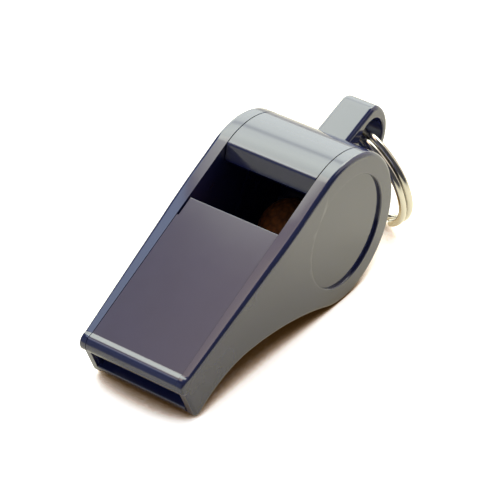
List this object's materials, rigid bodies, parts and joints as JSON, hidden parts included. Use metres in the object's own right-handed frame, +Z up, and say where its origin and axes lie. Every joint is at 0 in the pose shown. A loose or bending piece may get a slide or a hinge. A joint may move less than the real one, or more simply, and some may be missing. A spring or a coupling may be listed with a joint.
{
  "type": "pea whistle",
  "caption": "Moulded pea whistle with a flat windway mouthpiece, a round barrel holding a cork ball, and a split ring in its rear loop, used to signal to dogs and people.",
  "frame": {"origin": "on the floor, under the middle of the barrel's axis, with the whistle lying on its belly and lower lip", "axes": "+X runs along the whistle from the mouth to the loop, +Y points to the left cheek, +Z up"},
  "size_m": [0.0593, 0.0211, 0.024],
  "materials": {
    "moulded_plastic": "dark navy moulded plastic, glossy",
    "cork": "ground cork, matte",
    "plated_wire": "nickel plated steel wire, bright"
  },
  "bodies": {
    "whistle": {"body_shell": "moulded_plastic", "windway_plate": "moulded_plastic", "left_cheek": "moulded_plastic", "right_cheek": "moulded_plastic"},
    "pea": {"cork_pea": "cork"},
    "ring": {"split_ring": "plated_wire"}
  },
  "joints": [
    {"name": "ring_swing", "type": "hinge", "parent": "whistle", "child": "ring", "pos_m": [0.01676, 0, 0.01598], "axis": [0, 1, 0], "range_deg": [-205, 12]},
    {"name": "pea_orbit", "type": "hinge", "parent": "whistle", "child": "pea", "pos_m": [0, 0, 0.012], "axis": [0, 1, 0], "continuous": true}
  ]
}
